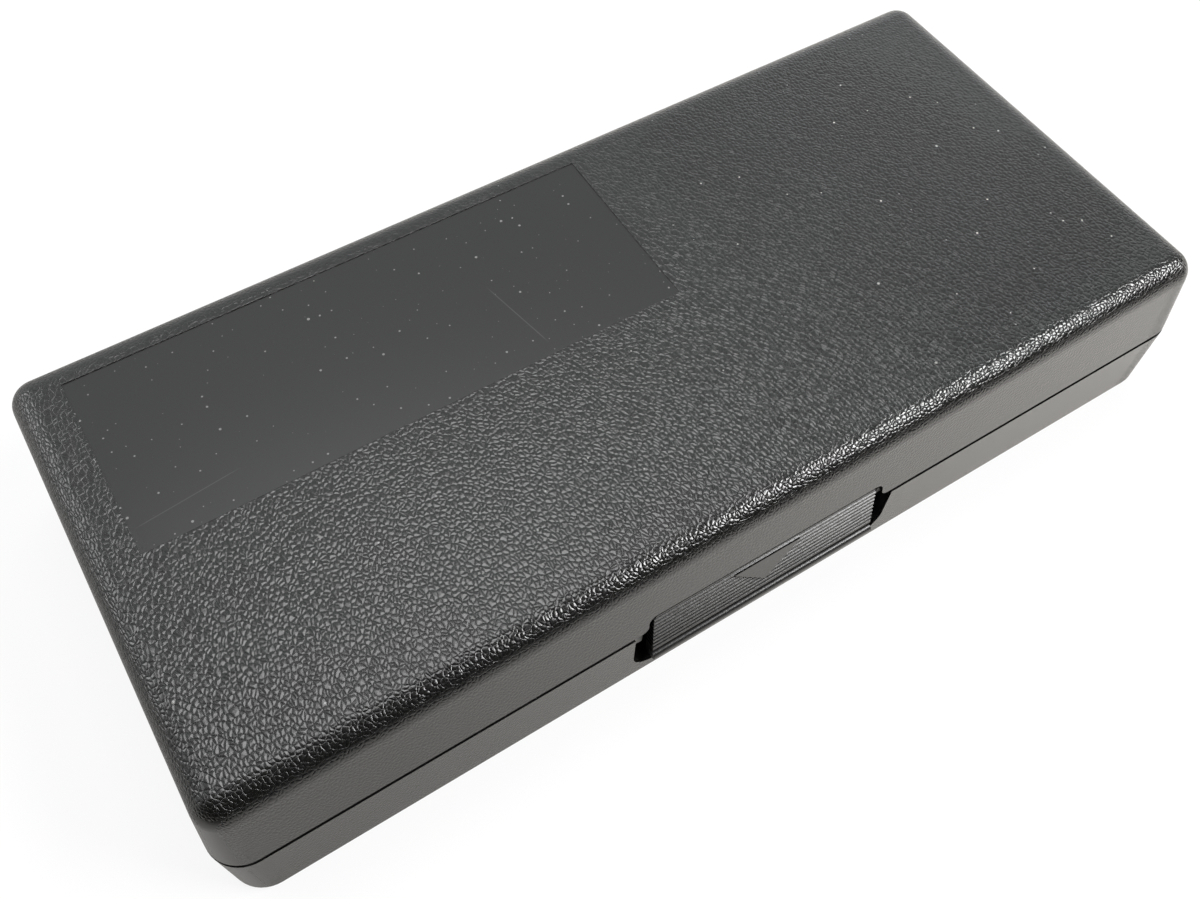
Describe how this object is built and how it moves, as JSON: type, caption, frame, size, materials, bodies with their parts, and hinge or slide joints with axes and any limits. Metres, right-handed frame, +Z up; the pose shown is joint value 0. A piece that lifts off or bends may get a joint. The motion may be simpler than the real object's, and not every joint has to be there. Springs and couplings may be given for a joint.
{
  "type": "micrometer case",
  "caption": "Flat moulded case with a hinged lid, a ribbed swing latch on the front and a foam insert cut for an outside micrometer and its spanner.",
  "frame": {"origin": "centre of the flat underside of the base", "axes": "+X along the length, to the right when the latch faces the viewer; +Y from the latch side to the hinge side; +Z up from the bench"},
  "size_m": [0.172, 0.0845, 0.0304],
  "materials": {
    "moulding": "black, leather grain",
    "latch_moulding": "black, smooth satin",
    "pin_steel": "drawn steel wire",
    "foam": "charcoal open-cell foam"
  },
  "bodies": {
    "base": {"base_shell": "moulding", "hinge_pin_left": "pin_steel", "hinge_pin_right": "pin_steel", "base_foam_floor": "foam", "base_foam_insert": "foam"},
    "lid": {"lid_shell": "moulding", "latch_pin": "pin_steel", "lid_foam_pad": "foam"},
    "latch": {"latch": "latch_moulding"}
  },
  "joints": [
    {"name": "lid_hinge", "type": "hinge", "parent": "base", "child": "lid", "pos_m": [0, 0.0419, 0.01475], "axis": [-1, 0, 0], "range_deg": [0, 174]},
    {"name": "latch_pivot", "type": "hinge", "parent": "lid", "child": "latch", "pos_m": [0, -0.0363, 0.0141], "axis": [-1, 0, 0], "range_deg": [0, 18]}
  ]
}
